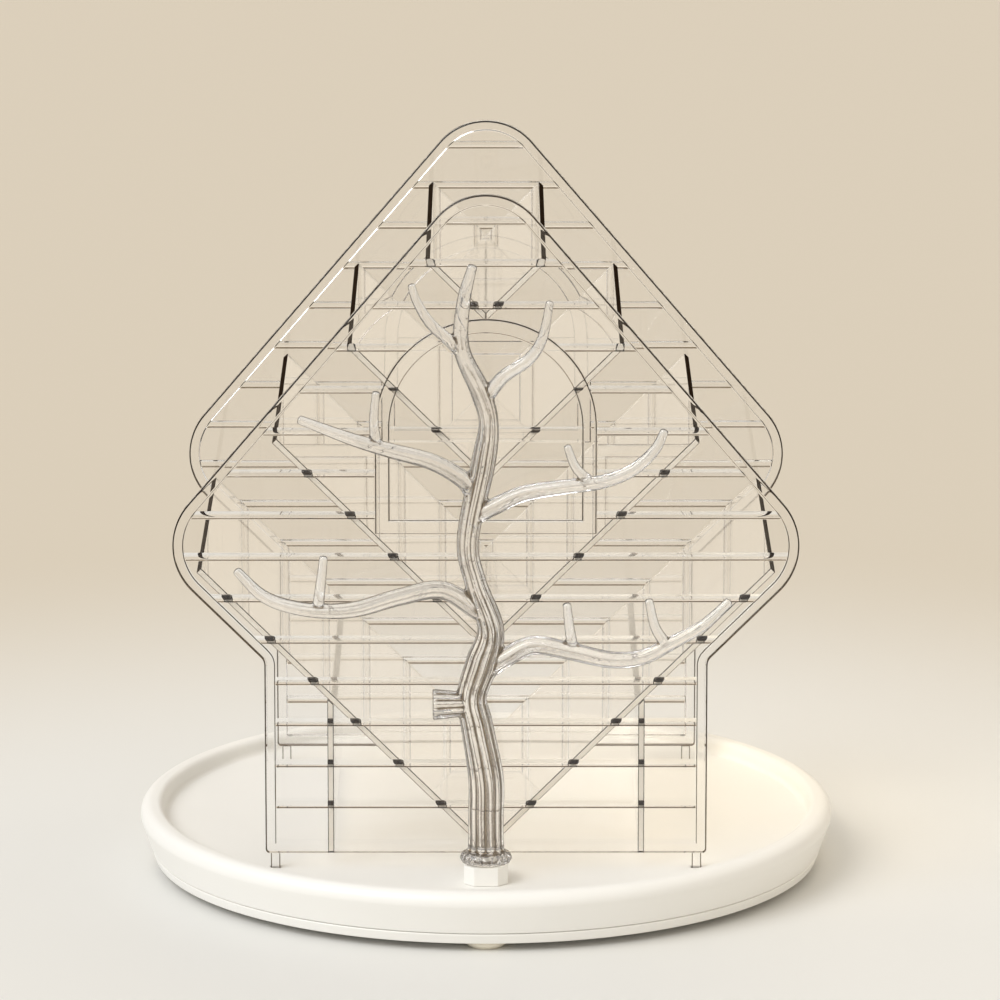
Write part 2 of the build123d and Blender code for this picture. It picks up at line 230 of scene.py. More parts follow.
def cut_out(owner, points, faces):
    """Takes a closed cutter, given by its points in millimetres and its faces, out of a finished piece."""
    mesh = bpy.data.meshes.new("cutter")
    mesh.from_pydata((points / 1000).tolist(), [], faces.tolist())
    work = bmesh.new()
    work.from_mesh(mesh)
    bmesh.ops.remove_doubles(work, verts=work.verts, dist=1e-6)
    bmesh.ops.recalc_face_normals(work, faces=work.faces)
    work.to_mesh(mesh)
    work.free()
    cutter = bpy.data.objects.new("cutter", mesh)
    bpy.context.scene.collection.objects.link(cutter)
    owner.modifiers.clear()
    cut = owner.modifiers.new("cut", "BOOLEAN")
    cut.object = cutter
    cut.operation = "DIFFERENCE"
    cut.solver = "EXACT"
    owner.data = bpy.data.meshes.new_from_object(owner.evaluated_get(bpy.context.evaluated_depsgraph_get()))
    owner.data.set_sharp_from_angle(angle=math.radians(50))
    owner.modifiers.clear()
    bpy.data.objects.remove(cutter)
    flats = owner.modifiers.new("flats", "WEIGHTED_NORMAL")
    flats.keep_sharp = True


slot_across = 74.05
slot_back = 72.0
slot_size = np.array([3.9, 3.0, 4.0])
slot_corners = np.array([(x, y, z) for x in (-1, 1) for y in (-1, 1) for z in (-1, 1)]) * slot_size / 2
slot_faces = np.array([(0, 1, 3, 2), (4, 6, 7, 5), (0, 4, 5, 1), (2, 3, 7, 6), (0, 2, 6, 4), (1, 5, 7, 3)])
slot_centres = np.array([(x * slot_across, y * slot_back, floor_top) for x in (-1, 1) for y in (-1, 1)])
slot_starts = len(slot_corners) * np.arange(len(slot_centres))
cut_out(tray, (slot_corners + slot_centres[:, None]).reshape(-1, 3),
        (slot_faces + slot_starts[:, None, None]).reshape(-1, 4))


# Pivot washer and screw: zinc-plated steel, pressed and cold-headed.
# They hold the tray's journal down in the base from below.

zinc = finish_called("zinc_plated_steel")
place = node(zinc, "ShaderNodeTexCoord")
spangle = node(zinc, "ShaderNodeTexNoise", {"Scale": 1 / 0.0012, "Detail": 4.0},
               {"Vector": place.outputs["Object"]})
shine = node(zinc, "ShaderNodeMapRange", {"To Min": 0.22, "To Max": 0.38}, {"Value": spangle.outputs["Fac"]})
plate = node(zinc, "ShaderNodeMix", {"A": linear("#C9CBCD"), "B": linear("#B9BABA")},
             {"Factor": spangle.outputs["Fac"]}, data_type="RGBA")
metal = node(zinc, "ShaderNodeBsdfPrincipled", {"Metallic": 1.0},
             {"Base Color": plate.outputs["Result"], "Roughness": shine.outputs["Result"]})
node(zinc, "ShaderNodeOutputMaterial", links={"Surface": metal.outputs["BSDF"]})
for name in ("pivot_washer", "pivot_screw"):
    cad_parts[name].data.materials.clear()
    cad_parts[name].data.materials.append(zinc)


# Tree socket: a small block with cut corners that stands up from the tray's floor in front of the rack.
# It is cream ABS like the tray, with a blind bore for the tree's plug.

def block(outline, edge, low, high, steps=4):
    """Closed block: an outline with rounded corners is carried from one end to the other. Near each end its
    rings draw in along a quarter circle of the edge's radius, and each end closes to its middle."""
    points, outward = outline
    bend = np.linspace(0, math.pi / 2, steps + 1)
    draw = edge * (1 - np.concatenate([np.sin(bend), np.sin(bend[::-1])]))
    along = np.concatenate([low + edge * (1 - np.cos(bend)), high - edge * (1 - np.cos(bend[::-1]))])
    rings = points - outward * draw[:, None, None]
    rings = np.concatenate([rings, np.repeat(along[:, None, None], len(points), 1)], 2)
    middle = points.mean(0)
    ends = np.array([(*middle, low), (*middle, high)])
    ends = np.repeat(ends[:, None], len(points), 1)
    rings = np.concatenate([ends[:1], rings, ends[1:]])
    return rings.reshape(-1, 3), faces_between(len(rings), len(points), False, True)


tree_plane = 89.6
socket_bottom = 17.02
socket_top = 23.78
socket_half = 7.65
socket_flat = 4.15
socket_round = 0.5
socket_edge = 0.4
socket_outline = [(socket_half, -socket_flat), (socket_half, socket_flat),
                  (socket_flat, socket_half), (-socket_flat, socket_half),
                  (-socket_half, socket_flat), (-socket_half, -socket_flat),
                  (-socket_flat, -socket_half), (socket_flat, -socket_half)]
socket_points, socket_faces = block(rounded(socket_outline, socket_round, steps=3), socket_edge,
                                    socket_bottom, socket_top)
socket = piece("socket_block", socket_points - (0, tree_plane, 0), socket_faces, [cream_abs],
               "turntable", "cream_plastic", "tree_socket")
bore_outline = [(0, 18.2), (4.5, 18.2), (4.5, 25.0), (0, 25.0)]
bore_points, bore_faces = turned(bore_outline, 64)
cut_out(socket, bore_points - (0, tree_plane, 0), bore_faces)


# Gable panels: two house-shaped ends of the rack, injection-moulded in clear acrylic.
# Each has a raised border, sixteen lens-shaped ribs and a raised arched window on its outer face,
# and two pegs under it that stand in the tray's slots.

# Polished PMMA: clear as glass at right angles, and smoky brown only along the sheet,
# where light runs far inside it. A faint ripple from the mould and a trace of handling show in its gloss.
clear_acrylic = finish_called("clear_acrylic_moulded")
place = node(clear_acrylic, "ShaderNodeTexCoord")
touch = node(clear_acrylic, "ShaderNodeTexNoise", {"Scale": 1 / 0.03, "Detail": 3.0},
             {"Vector": place.outputs["Object"]})
polish = node(clear_acrylic, "ShaderNodeMapRange",
              {"From Min": 0.45, "From Max": 0.8, "To Min": 0.0, "To Max": 0.035},
              {"Value": touch.outputs["Fac"]})
ripple = node(clear_acrylic, "ShaderNodeBump", {"Strength": 0.03, "Distance": 0.0002},
              {"Height": touch.outputs["Fac"]})
glassy = node(clear_acrylic, "ShaderNodeBsdfPrincipled",
              {"Base Color": linear("#FFFFFF"), "IOR": 1.49, "Transmission Weight": 1.0},
              {"Roughness": polish.outputs["Result"], "Normal": ripple.outputs["Normal"]})


def end_clear(owner, surface, density, shadow):
    """Ends a clear finish: its body takes up light with depth, and shadow rays pass through it tinted."""
    depth = node(owner, "ShaderNodeVolumeAbsorption", {"Color": linear("#B59A78"), "Density": density})
    through = node(owner, "ShaderNodeBsdfTransparent", {"Color": linear(shadow)})
    path = node(owner, "ShaderNodeLightPath")
    lit = node(owner, "ShaderNodeMixShader",
               links={0: path.outputs["Is Shadow Ray"], 1: surface.outputs["BSDF"],
                      2: through.outputs["BSDF"]})
    node(owner, "ShaderNodeOutputMaterial",
         links={"Surface": lit.outputs["Shader"], "Volume": depth.outputs["Volume"]})


end_clear(clear_acrylic, glassy, density=9.0, shadow="#FBF9F5")

panel_inner = 70.8
panel_thickness = 2.4
relief = 0.8
border_width = 3.6
panel_bottom = 5.5
toe_round = 1.5
panel_edge = 0.5
relief_edge = 0.35
rib_first = 8.3
rib_pitch = 14.9
rib_count = 16
rib_half = 1.4
window_radius = 33.7
window_centre = 158.7
window_sill = 125.6
window_frame = 4.6
transom_height = 4.7
transom_overlap = 1.5
steep = math.radians(49.5)
shoulder_round = 23.0
shoulder_reach = 109.2
shoulder_x = shoulder_reach - shoulder_round
leg = 77.5
neck_height = 75.2
neck_round = 4.0
neck_z = leg + neck_round - (leg - neck_height) - neck_round * math.sqrt(2)
shoulder_z = neck_height + shoulder_x - leg + shoulder_round * math.sqrt(2)
peak = shoulder_z + (shoulder_round + shoulder_x * math.sin(steep)) / math.cos(steep)
apex_round = 22.0
apex_z = peak - apex_round / math.cos(steep)
panel_top = apex_z + apex_round


def half_width(z, inset):
    """Half width of the gable at height z, drawn in by inset. Going up the side, the leg, the hollow neck,
    the lower slope, the round shoulder, the upper slope and the round apex follow each other."""
    z, inset = np.broadcast_arrays(z, inset)
    lean = 1 / math.sqrt(2)
    toe_rise = np.clip(panel_bottom + toe_round - z, 0, None)
    toe = toe_round - np.sqrt(np.clip(toe_round ** 2 - toe_rise ** 2, 0, None))
    hollow = leg + neck_round - np.sqrt(np.clip((neck_round + inset) ** 2 - (z - neck_z) ** 2, 0, None))
    shoulder = shoulder_x + np.sqrt(np.clip((shoulder_round - inset) ** 2 - (z - shoulder_z) ** 2, 0, None))
    upper = (peak - z) / math.tan(steep) - inset / math.sin(steep)
    cap = np.sqrt(np.clip((apex_round - inset) ** 2 - (z - apex_z) ** 2, 0, None))
    lower = z + leg - neck_height - inset * math.sqrt(2)
    below = [z < neck_z,
             z < neck_z + (neck_round + inset) * lean,
             z < shoulder_z - (shoulder_round - inset) * lean,
             z < shoulder_z + (shoulder_round - inset) * math.cos(steep),
             z < apex_z + (apex_round - inset) * math.cos(steep)]
    return np.select(below, [leg - inset - toe, hollow, lower, shoulder, upper], cap)


def panel_rows():
    """Heights of the grid's rows: an even spread, and close steps over each rib, edge and arc."""
    turn = np.radians(np.arange(0, 91, 3.0))
    edge_steps = np.array([0, 0.06, 0.15, 0.3, 0.5, 0.8, 1.1, 1.5, 3.1, 3.3, 3.5, 3.7, 3.9, 4.1])
    rib_steps = rib_half * np.array([-1.12, -1, -0.85, -0.6, -0.3, 0, 0.3, 0.6, 0.85, 1, 1.12])
    ribs = rib_first + rib_pitch * np.arange(rib_count)
    relief_steps = relief_edge * np.array([-1.8, -1, -0.5, 0, 0.5, 1, 1.8])
    levels = np.array([window_sill, window_sill - window_frame,
                       window_centre, window_centre - transom_height])
    arches = window_radius + np.array([window_frame + 0.2, window_frame - 0.2, 0.2, -0.2])
    caps = apex_round - np.array([0, 0.3, border_width - 0.2, border_width + 0.2])
    rows = np.concatenate([
        np.arange(panel_bottom, panel_top, 2.0), panel_bottom + edge_steps, panel_top - edge_steps,
        (ribs[:, None] + rib_steps).ravel(), (levels[:, None] + relief_steps).ravel(),
        (window_centre + arches[:, None] * np.cos(turn)).ravel(),
        (apex_z + caps[:, None] * np.cos(turn[turn < steep])).ravel(),
        shoulder_z + shoulder_round * np.sin(np.radians(np.arange(-45, 41, 3.0))),
        neck_z + np.arange(0, 3.2, 0.4)])
    rows = np.unique(rows.round(3))
    rows = rows[(rows >= panel_bottom) & (rows < panel_top - 0.01)]
    return np.concatenate([rows[np.append(True, np.diff(rows) > 0.025)], [panel_top]])


def raised(inside):
    """Height share of a raised field at a distance inside its outline: a soft step across the outline."""
    share = np.clip(inside / (2 * relief_edge) + 0.5, 0, 1)
    return share * share * (3 - 2 * share)


def gable_panel(clear_foot):
    """Closed gable panel. Its grid has level rows, and columns that follow the outline, then the border's
    inner edge, then the arched window. The outer face's height is the sheet plus the relief's highest share
    there, and both faces fall away in a quarter circle at the outline, where a strip of faces joins them.
    The third array marks the faces painted smoky as painted shade, for the dark lines that bent light draws:
    the outline, the steps, and one flank of each rib but the lowest, outside the window's frame. With
    clear_foot the bottom edge isn't marked."""
    z = panel_rows()[:, None]
    insets = np.array([0, 0.04, 0.12, 0.27, 0.5, 1.2, 2.4, 3.1, 3.25, 3.45, 3.6, 3.75, 3.95, 4.3])
    border_columns = half_width(z, insets[None])
    step_columns = relief_edge * np.array([2, 1.1, 0.55, 0, -0.55, -1.1, -2])
    grow = np.concatenate([window_frame + step_columns, step_columns])
    arch = np.sqrt(np.clip((window_radius + grow) ** 2 - np.clip(z - window_centre, 0, None) ** 2, 0, None))
    arch = np.minimum(arch, border_columns[:, -1:])
    share = np.linspace(0, 1, 7)[None, 1:-1]
    between = border_columns[:, -1:] * (1 - share) + arch[:, :1] * share
    middle = arch[:, -1:] * np.array([[0.75, 0.5, 0.25, 0.0]])
    half = np.hstack([border_columns, between, arch, middle])
    x = np.hstack([half, -half[:, -2::-1]])
    far_inside = 99.0
    inset = np.concatenate([insets, np.full(half.shape[1] - len(insets), far_inside)])
    inset = np.concatenate([inset, inset[-2::-1]])[None]
    inset = np.minimum(inset, panel_top - z)
    from_sides = inset
    inset = np.minimum(inset, z - panel_bottom)
    z = np.broadcast_to(z, x.shape)

    nearest = rib_first + rib_pitch * np.clip(np.round((z - rib_first) / rib_pitch), 0, rib_count - 1)
    lens = (rib_half ** 2 + relief ** 2) / (2 * relief)
    rib = np.sqrt(np.clip(lens ** 2 - (z - nearest) ** 2, 0, None)) - lens + relief
    rib = np.clip(rib, 0, None) / relief
    outside = np.where(z > window_centre, np.hypot(x, z - window_centre) - window_radius,
                       np.maximum(np.abs(x) - window_radius, window_sill - z))
    transom = np.minimum(z - window_centre + transom_height, window_centre - z)
    transom = np.minimum(transom, transom_overlap - outside)
    border_share = raised(border_width - inset)
    window_share = raised(np.minimum(outside, window_frame - outside))
    share = np.maximum.reduce([border_share, rib * raised(outside), window_share, raised(transom)])
    fall = np.clip(panel_edge - inset, 0, panel_edge)
    fall = panel_edge - np.sqrt(panel_edge ** 2 - fall ** 2)
    outer = np.stack([x, -(panel_inner + panel_thickness + relief * share - fall), z + floor_top], -1)
    inner = np.stack([x, -(panel_inner + fall), z + floor_top], -1)

    rows, columns = x.shape
    grid = faces_between(rows, columns)
    number = np.arange(rows * columns).reshape(rows, columns)
    rim = np.concatenate([number[::-1, 0], number[0, 1:], number[1:, -1]])
    strip = np.stack([rim[:-1], rim[1:], rim[1:] + rows * columns, rim[:-1] + rows * columns], -1)
    faces = np.concatenate([grid, grid[:, ::-1] + rows * columns, strip])
    # Faces painted smoky as painted shade: the rounded outline, the steps of the relief and one flank of
    # each rib.
    rounding = (from_sides if clear_foot else inset).ravel()[grid].mean(1) < 0.8 * panel_edge
    step = np.ptp(np.maximum(border_share, window_share).ravel()[grid], axis=1) > 0.3
    flank = (np.abs((z - nearest).ravel()[grid] + 0.8 * rib_half) < 0.25 * rib_half).all(1)
    flank &= (nearest.ravel()[grid] > rib_first + 1).all(1)
    flank_gap = 0.3
    flank &= from_sides.ravel()[grid].min(1) > border_width + flank_gap
    flank &= outside.ravel()[grid].min(1) > window_frame + flank_gap
    marked = np.concatenate([rounding | step | flank, rounding, np.zeros(len(strip), bool)])
    return np.concatenate([outer.reshape(-1, 3), inner.reshape(-1, 3)]), faces, marked


def joined(*parts):
    """Several closed surfaces as one set of points and faces."""
    starts = np.cumsum([0] + [len(points) for points, _ in parts[:-1]])
    all_points = np.concatenate([points for points, _ in parts])
    all_faces = np.concatenate([faces + start for (_, faces), start in zip(parts, starts)])
    return all_points, all_faces


# The same acrylic along a rounded edge, with its see-through colour painted smoky brown: painted shade
# for the dark lines that light bent through the sheet shows along its edges.
edge_acrylic = finish_called("clear_acrylic_edges_painted_shade")
place = node(edge_acrylic, "ShaderNodeTexCoord")
saw = node(edge_acrylic, "ShaderNodeTexNoise", {"Scale": 1 / 0.008, "Detail": 2.0},
           {"Vector": place.outputs["Object"]})
painted_edge_shade = node(edge_acrylic, "ShaderNodeMix", {"A": linear("#5E4F3E"), "B": linear("#8A7A66")},
             {"Factor": saw.outputs["Fac"]}, data_type="RGBA")
rim = node(edge_acrylic, "ShaderNodeBsdfPrincipled",
           {"IOR": 1.49, "Roughness": 0.06, "Transmission Weight": 1.0},
           {"Base Color": painted_edge_shade.outputs["Result"]})
end_clear(edge_acrylic, rim, density=9.0, shadow="#FBF9F5")

# A peg's rounded corners, its two flats across the sheet and its ends are painted smoky: painted shade for
# the dark lines that bent light draws on it.
peg_half = 1.65
peg_inner = 70.85
peg_outer = 73.15
peg_round = 0.35
peg_edge = 0.3
peg_depth = 1.95
peg_gap = 0.06
peg_corners = [(-peg_half, peg_inner), (peg_half, peg_inner), (peg_half, peg_outer), (-peg_half, peg_outer)]
peg_outline = rounded(peg_corners, peg_round, steps=3)
peg_points, peg_faces = block(peg_outline, peg_edge, floor_top - peg_depth,
                              floor_top + panel_bottom - peg_gap)
ring_points = len(peg_outline[0])
row, column = np.divmod(np.arange(len(peg_faces)), ring_points)
peg_shaded = (column % 4 != 3) | (column % 8 == 7) | (row == 0) | (row == row.max())
pegs = [(peg_points * (1, -1, 1) + (side * slot_across, 0, 0), peg_faces) for side in (-1, 1)]
clear_set = [clear_acrylic, edge_acrylic]
for name, node_name, turn in (("gable_front", "front_panel", 1), ("gable_back", "back_panel", -1)):
    *gable, gable_shaded = gable_panel(turn > 0)
    panel_points, panel_faces = joined(gable, *pegs)
    panel_shaded = np.concatenate([gable_shaded, peg_shaded, peg_shaded])
    piece(name, panel_points * (turn, turn, 1), panel_faces, clear_set, "rack", "clear_acrylic", node_name,
          marked=panel_shaded)


# Shelf arms: eight flat plates of clear acrylic that make four nested V shelves between the panels.
# Each is cut from sheet with polished edges, mitred to its partner, and held by tabs in the panels' ribs.

# The tabs are the same clear acrylic. Seen down the plate's whole length they look almost black from the
# light bent inside them, so that dark is painted shade: an opaque near-black finish, kept from every side.
painted_dark_tabs = finish_called("acrylic_tabs_painted_dark")
place = node(painted_dark_tabs, "ShaderNodeTexCoord")
streak = node(painted_dark_tabs, "ShaderNodeTexNoise", {"Scale": 1 / 0.001, "Detail": 2.0},
              {"Vector": place.outputs["Object"]})
painted_dark_tone = node(painted_dark_tabs, "ShaderNodeMix", {"A": linear("#1A130D"), "B": linear("#2E2219")},
             {"Factor": streak.outputs["Fac"]}, data_type="RGBA")
dark = node(painted_dark_tabs, "ShaderNodeBsdfPrincipled", {"IOR": 1.49, "Roughness": 0.12},
            {"Base Color": painted_dark_tone.outputs["Result"]})
node(painted_dark_tabs, "ShaderNodeOutputMaterial", links={"Surface": dark.outputs["BSDF"]})

# Where the sheet's whole depth looks out, at the arms' outer ends and the side plates' back ends, bent light
# makes it look smoky black. That dark is painted shade too: an opaque finish with no gloss.
painted_dark_end = finish_called("acrylic_ends_painted_dark")
place = node(painted_dark_end, "ShaderNodeTexCoord")
streak = node(painted_dark_end, "ShaderNodeTexNoise", {"Scale": 1 / 0.003, "Detail": 2.0},
              {"Vector": place.outputs["Object"]})
painted_dark_tone = node(painted_dark_end, "ShaderNodeMix", {"A": linear("#17110C"), "B": linear("#33271C")},
             {"Factor": streak.outputs["Fac"]}, data_type="RGBA")
dark = node(painted_dark_end, "ShaderNodeBsdfPrincipled",
            {"IOR": 1.49, "Roughness": 0.25, "Specular IOR Level": 0.0},
            {"Base Color": painted_dark_tone.outputs["Result"]})
node(painted_dark_end, "ShaderNodeOutputMaterial", links={"Surface": dark.outputs["BSDF"]})

# The other sawn ends that meet the panels are left matt, so they look frosted and pale.
frosted = finish_called("acrylic_sawn_ends")
place = node(frosted, "ShaderNodeTexCoord")
saw = node(frosted, "ShaderNodeTexNoise", {"Scale": 1 / 0.0006, "Detail": 2.0},
           {"Vector": place.outputs["Object"]})
frost = node(frosted, "ShaderNodeMix", {"A": linear("#FBF7EF"), "B": linear("#F0E7D8")},
             {"Factor": saw.outputs["Fac"]}, data_type="RGBA")
matt = node(frosted, "ShaderNodeMapRange", {"To Min": 0.45, "To Max": 0.65}, {"Value": saw.outputs["Fac"]})
pale = node(frosted, "ShaderNodeBsdfPrincipled", {"IOR": 1.49, "Transmission Weight": 0.15},
            {"Base Color": frost.outputs["Result"], "Roughness": matt.outputs["Result"]})
node(frosted, "ShaderNodeOutputMaterial", links={"Surface": pale.outputs["BSDF"]})


def across_rack(outline, edge, low, high):
    """Block whose outline is (sideways, height above the tray's floor), carried along the rack's depth."""
    points, faces = block(outline, edge, low, high)
    return np.stack([points[:, 0], points[:, 2], points[:, 1] + floor_top], -1), faces


def tabs_at_ends(outlines):
    """Tabs of one plate: each outline is carried from both of the plate's ends into the panels' ribs."""
    tabs = []
    for outline in outlines:
        for end in (-1, 1):
            depths = sorted((end * (panel_inner - plate_gap), end * (panel_inner + tab_reach)))
            tabs.append(across_rack(rounded(outline, tab_round, steps=2), tab_edge, *depths))
    return joined(*tabs)


plate_gap = 0.06
mitre_gap = 0.03
tab_half = 0.45
tab_reach = 1.55
tab_margin = 6
tab_round = 0.2
tab_edge = 0.15
sheet = 2.2
sheet_edge = 0.3
lip = sheet / math.sqrt(2)
drop = sheet * math.sqrt(2)
lowest_apex = 5.6
shelves = [(195.9, 21.0), (138.5, 48.2), (78.5, 74.4), (lowest_apex, 101.0)]
rib_levels = rib_first + rib_pitch * np.arange(rib_count)
# An arm's outer end with its two rounded corners is painted dark, painted shade where the sheet's depth
# looks out, and the ends that meet the panels are frosted.
for number, (apex, reach) in enumerate(shelves, start=1):
    corners = [(mitre_gap, apex + mitre_gap), (reach, apex + reach),
               (reach - lip, apex + reach + lip), (mitre_gap, apex + drop + mitre_gap)]
    arm_points, arm_faces = across_rack(rounded(corners, sheet_edge, steps=3), sheet_edge,
                                        -panel_inner + plate_gap, panel_inner - plate_gap)
    row, column = np.divmod(np.arange(len(arm_faces)), ring_points)
    arm_frost_and_shade = np.where((column >= 4) & (column < 11), 1, 0)
    arm_frost_and_shade[(row == 0) | (row == row.max())] = 2
    held = rib_levels[(rib_levels > apex + tab_margin) & (rib_levels < apex + reach - tab_margin)]
    outlines = [[(low - apex - drop, low), (low - apex, low),
                 (high - apex, high), (high - apex - drop, high)]
                for low, high in zip(held - tab_half, held + tab_half)]
    tab_points, tab_faces = tabs_at_ends(outlines)
    for side, word in ((1, "right"), (-1, "left")):
        piece(f"shelf_arm_{number}_{word}", arm_points * (side, 1, 1), arm_faces,
              [clear_acrylic, painted_dark_end, frosted], "rack", "clear_acrylic", f"shelf_{number}_{word}",
              marked=arm_frost_and_shade)
        piece(f"shelf_tabs_{number}_{word}", tab_points * (side, 1, 1), tab_faces, [painted_dark_tabs],
              "rack", "clear_acrylic")


# Side plates: two upright plates of clear acrylic under the lowest V shelf.
# They carry its arms, and their tabs sit in the panels' lower ribs.

upright_inner = 53.4
upright_outer = 55.6
upright_height = lowest_apex + (upright_inner + upright_outer) / 2
plate_corners = [(upright_inner, panel_bottom), (upright_outer, panel_bottom),
                 (upright_outer, lowest_apex + upright_outer - plate_gap),
                 (upright_inner, lowest_apex + upright_inner - plate_gap)]
upright_points, upright_faces = across_rack(rounded(plate_corners, sheet_edge, steps=3), sheet_edge,
                                            -panel_inner + plate_gap, panel_inner - plate_gap)
row = np.arange(len(upright_faces)) // ring_points
# A side plate's back end is painted dark, painted shade where the sheet's depth looks out, and its front end
# is frosted.
upright_frost_and_shade = np.where(row == row.max(), 1, np.where(row == 0, 2, 0))
held = rib_levels[(rib_levels > panel_bottom + tab_margin) & (rib_levels < upright_height - tab_margin)]
outlines = [[(upright_inner, low), (upright_outer, low), (upright_outer, high), (upright_inner, high)]
            for low, high in zip(held - tab_half, held + tab_half)]
tab_points, tab_faces = tabs_at_ends(outlines)
for side, word in ((1, "right"), (-1, "left")):
    piece(f"upright_{word}", upright_points * (side, 1, 1), upright_faces,
          [clear_acrylic, painted_dark_end, frosted], "rack", "clear_acrylic", f"side_plate_{word}",
          marked=upright_frost_and_shade)
    piece(f"upright_tabs_{word}", tab_points * (side, 1, 1), tab_faces, [painted_dark_tabs],
          "rack", "clear_acrylic")


# Jewellery tree: a leafless tree with a fluted trunk, one cut stub and long twigs to hang small things on.
# It is one clear moulding that flows together at its forks, and its plug stands in the socket.

# Moulded polystyrene crystal: bright and a little denser than acrylic, with fine flow lines in it.
# Its grooves and its grazing edges are painted dark: painted shade in the creases and forks, and painted
# dark outlines where the surface is seen at a grazing angle.
crystal = finish_called("clear_crystal_moulded")
place = node(crystal, "ShaderNodeTexCoord")
flow = node(crystal, "ShaderNodeTexNoise", {"Scale": 1 / 0.004, "Detail": 2.0},
            {"Vector": place.outputs["Object"]})
swirl = node(crystal, "ShaderNodeBump", {"Strength": 0.08, "Distance": 0.0003},
             {"Height": flow.outputs["Fac"]})
sparkle = node(crystal, "ShaderNodeMapRange", {"To Min": 0.0, "To Max": 0.03},
               {"Value": flow.outputs["Fac"]})
# Painted shade: the colour darkens where the surface curves inwards, in the flutes and at the forks.
shape = node(crystal, "ShaderNodeNewGeometry")
crease_shade_mask = node(crystal, "ShaderNodeMapRange", {"From Min": 0.486, "From Max": 0.502},
              {"Value": shape.outputs["Pointiness"]})
painted_crease_shade = node(crystal, "ShaderNodeMix", {"A": linear("#5E503E"), "B": linear("#FFFFFF")},
             {"Factor": crease_shade_mask.outputs["Result"]}, data_type="RGBA")
# Painted dark outline: the colour darkens where the surface is seen at a grazing angle.
graze = node(crystal, "ShaderNodeLayerWeight", {"Blend": 0.5})
rim = node(crystal, "ShaderNodeMapRange", {"From Min": 0.4, "From Max": 0.7},
           {"Value": graze.outputs["Facing"]})
painted_outline = node(crystal, "ShaderNodeMix", {"B": linear("#2C2217")},
                {"Factor": rim.outputs["Result"], "A": painted_crease_shade.outputs["Result"]}, data_type="RGBA")
lucid = node(crystal, "ShaderNodeBsdfPrincipled", {"IOR": 1.59, "Transmission Weight": 0.9},
             {"Base Color": painted_outline.outputs["Result"], "Roughness": sparkle.outputs["Result"],
              "Normal": swirl.outputs["Normal"]})
end_clear(crystal, lucid, density=8.0, shadow="#F6F3ED")

collar_top = 27.8
limb_sides = 72
winding = 0.03


def smooth_route(stops, spacing=0.9):
    """Curve through stops (sideways, forwards, height, thickness): on each span a cubic whose slopes at its
    two ends are half the step between the neighbours on either side."""
    stop = np.array(stops, float)
    padded = np.vstack([2 * stop[0] - stop[1], stop, 2 * stop[-1] - stop[-2]])
    before, start, end, after = padded[:-3], padded[1:-2], padded[2:-1], padded[3:]
    longest = np.linalg.norm((end - start)[:, :3], axis=1).max()
    t = np.linspace(0, 1, max(4, int(longest / spacing)), endpoint=False)[None, :, None]
    start, end = start[:, None], end[:, None]
    slope_in = (end - before[:, None]) / 2
    slope_out = (after[:, None] - start) / 2
    curve = ((2 * t ** 3 - 3 * t ** 2 + 1) * start + (t ** 3 - 2 * t ** 2 + t) * slope_in
             + (3 * t ** 2 - 2 * t ** 3) * end + (t ** 3 - t ** 2) * slope_out)
    return np.vstack([curve.reshape(-1, 4), stop[-1:]])


def limb(stops, flutes, depth, cut_off=False):
    """Closed fluted limb: a ring of radius r (1 + depth cos(flutes a + turn)) is carried along the smooth
    route, in the plane square to it. The turn grows along the limb, so the flutes wind. The tip closes in a
    low round, or almost flat where the limb is cut off."""
    route = smooth_route(stops)
    centre = np.stack([route[:, 0], -tree_plane - route[:, 1], collar_top + route[:, 2]], -1)
    along = np.gradient(centre, axis=0)
    along /= np.linalg.norm(along, axis=1)[:, None]
    radius = route[:, 3] / 2
    travel = np.append(0, np.cumsum(np.linalg.norm(np.diff(centre, axis=0), axis=1)))
    tip = np.linspace(0, 1, 7)[1:]
    rise = 0.12 if cut_off else 0.45
    tip_centre = centre[-1] + along[-1] * (rise * radius[-1] * np.sin(tip * math.pi / 2))[:, None]
    tip_radius = radius[-1] * (1 - tip ** 6 if cut_off else np.cos(tip * math.pi / 2))
    centre = np.vstack([centre[:1], centre, tip_centre, tip_centre[-1:]])
    along = np.vstack([along[:1], along, np.repeat(along[-1:], len(tip) + 1, 0)])
    radius = np.concatenate([[0], radius, tip_radius, [0]])
    travel = np.concatenate([[0], travel, np.full(len(tip) + 1, travel[-1])])
    across = np.array([0, 1.0, 0]) - along * along[:, 1:2]
    across /= np.linalg.norm(across, axis=1)[:, None]
    beside = np.cross(along, across)
    angle = np.arange(limb_sides)[None] * 2 * math.pi / limb_sides
    flute = 1 + depth * np.cos(flutes * angle + travel[:, None] * winding)
    ring = radius[:, None] * flute
    spoke = np.cos(angle)[..., None] * across[:, None] + np.sin(angle)[..., None] * beside[:, None]
    points = centre[:, None] + ring[..., None] * spoke
    return points.reshape(-1, 3), faces_between(len(points), limb_sides, False, True)


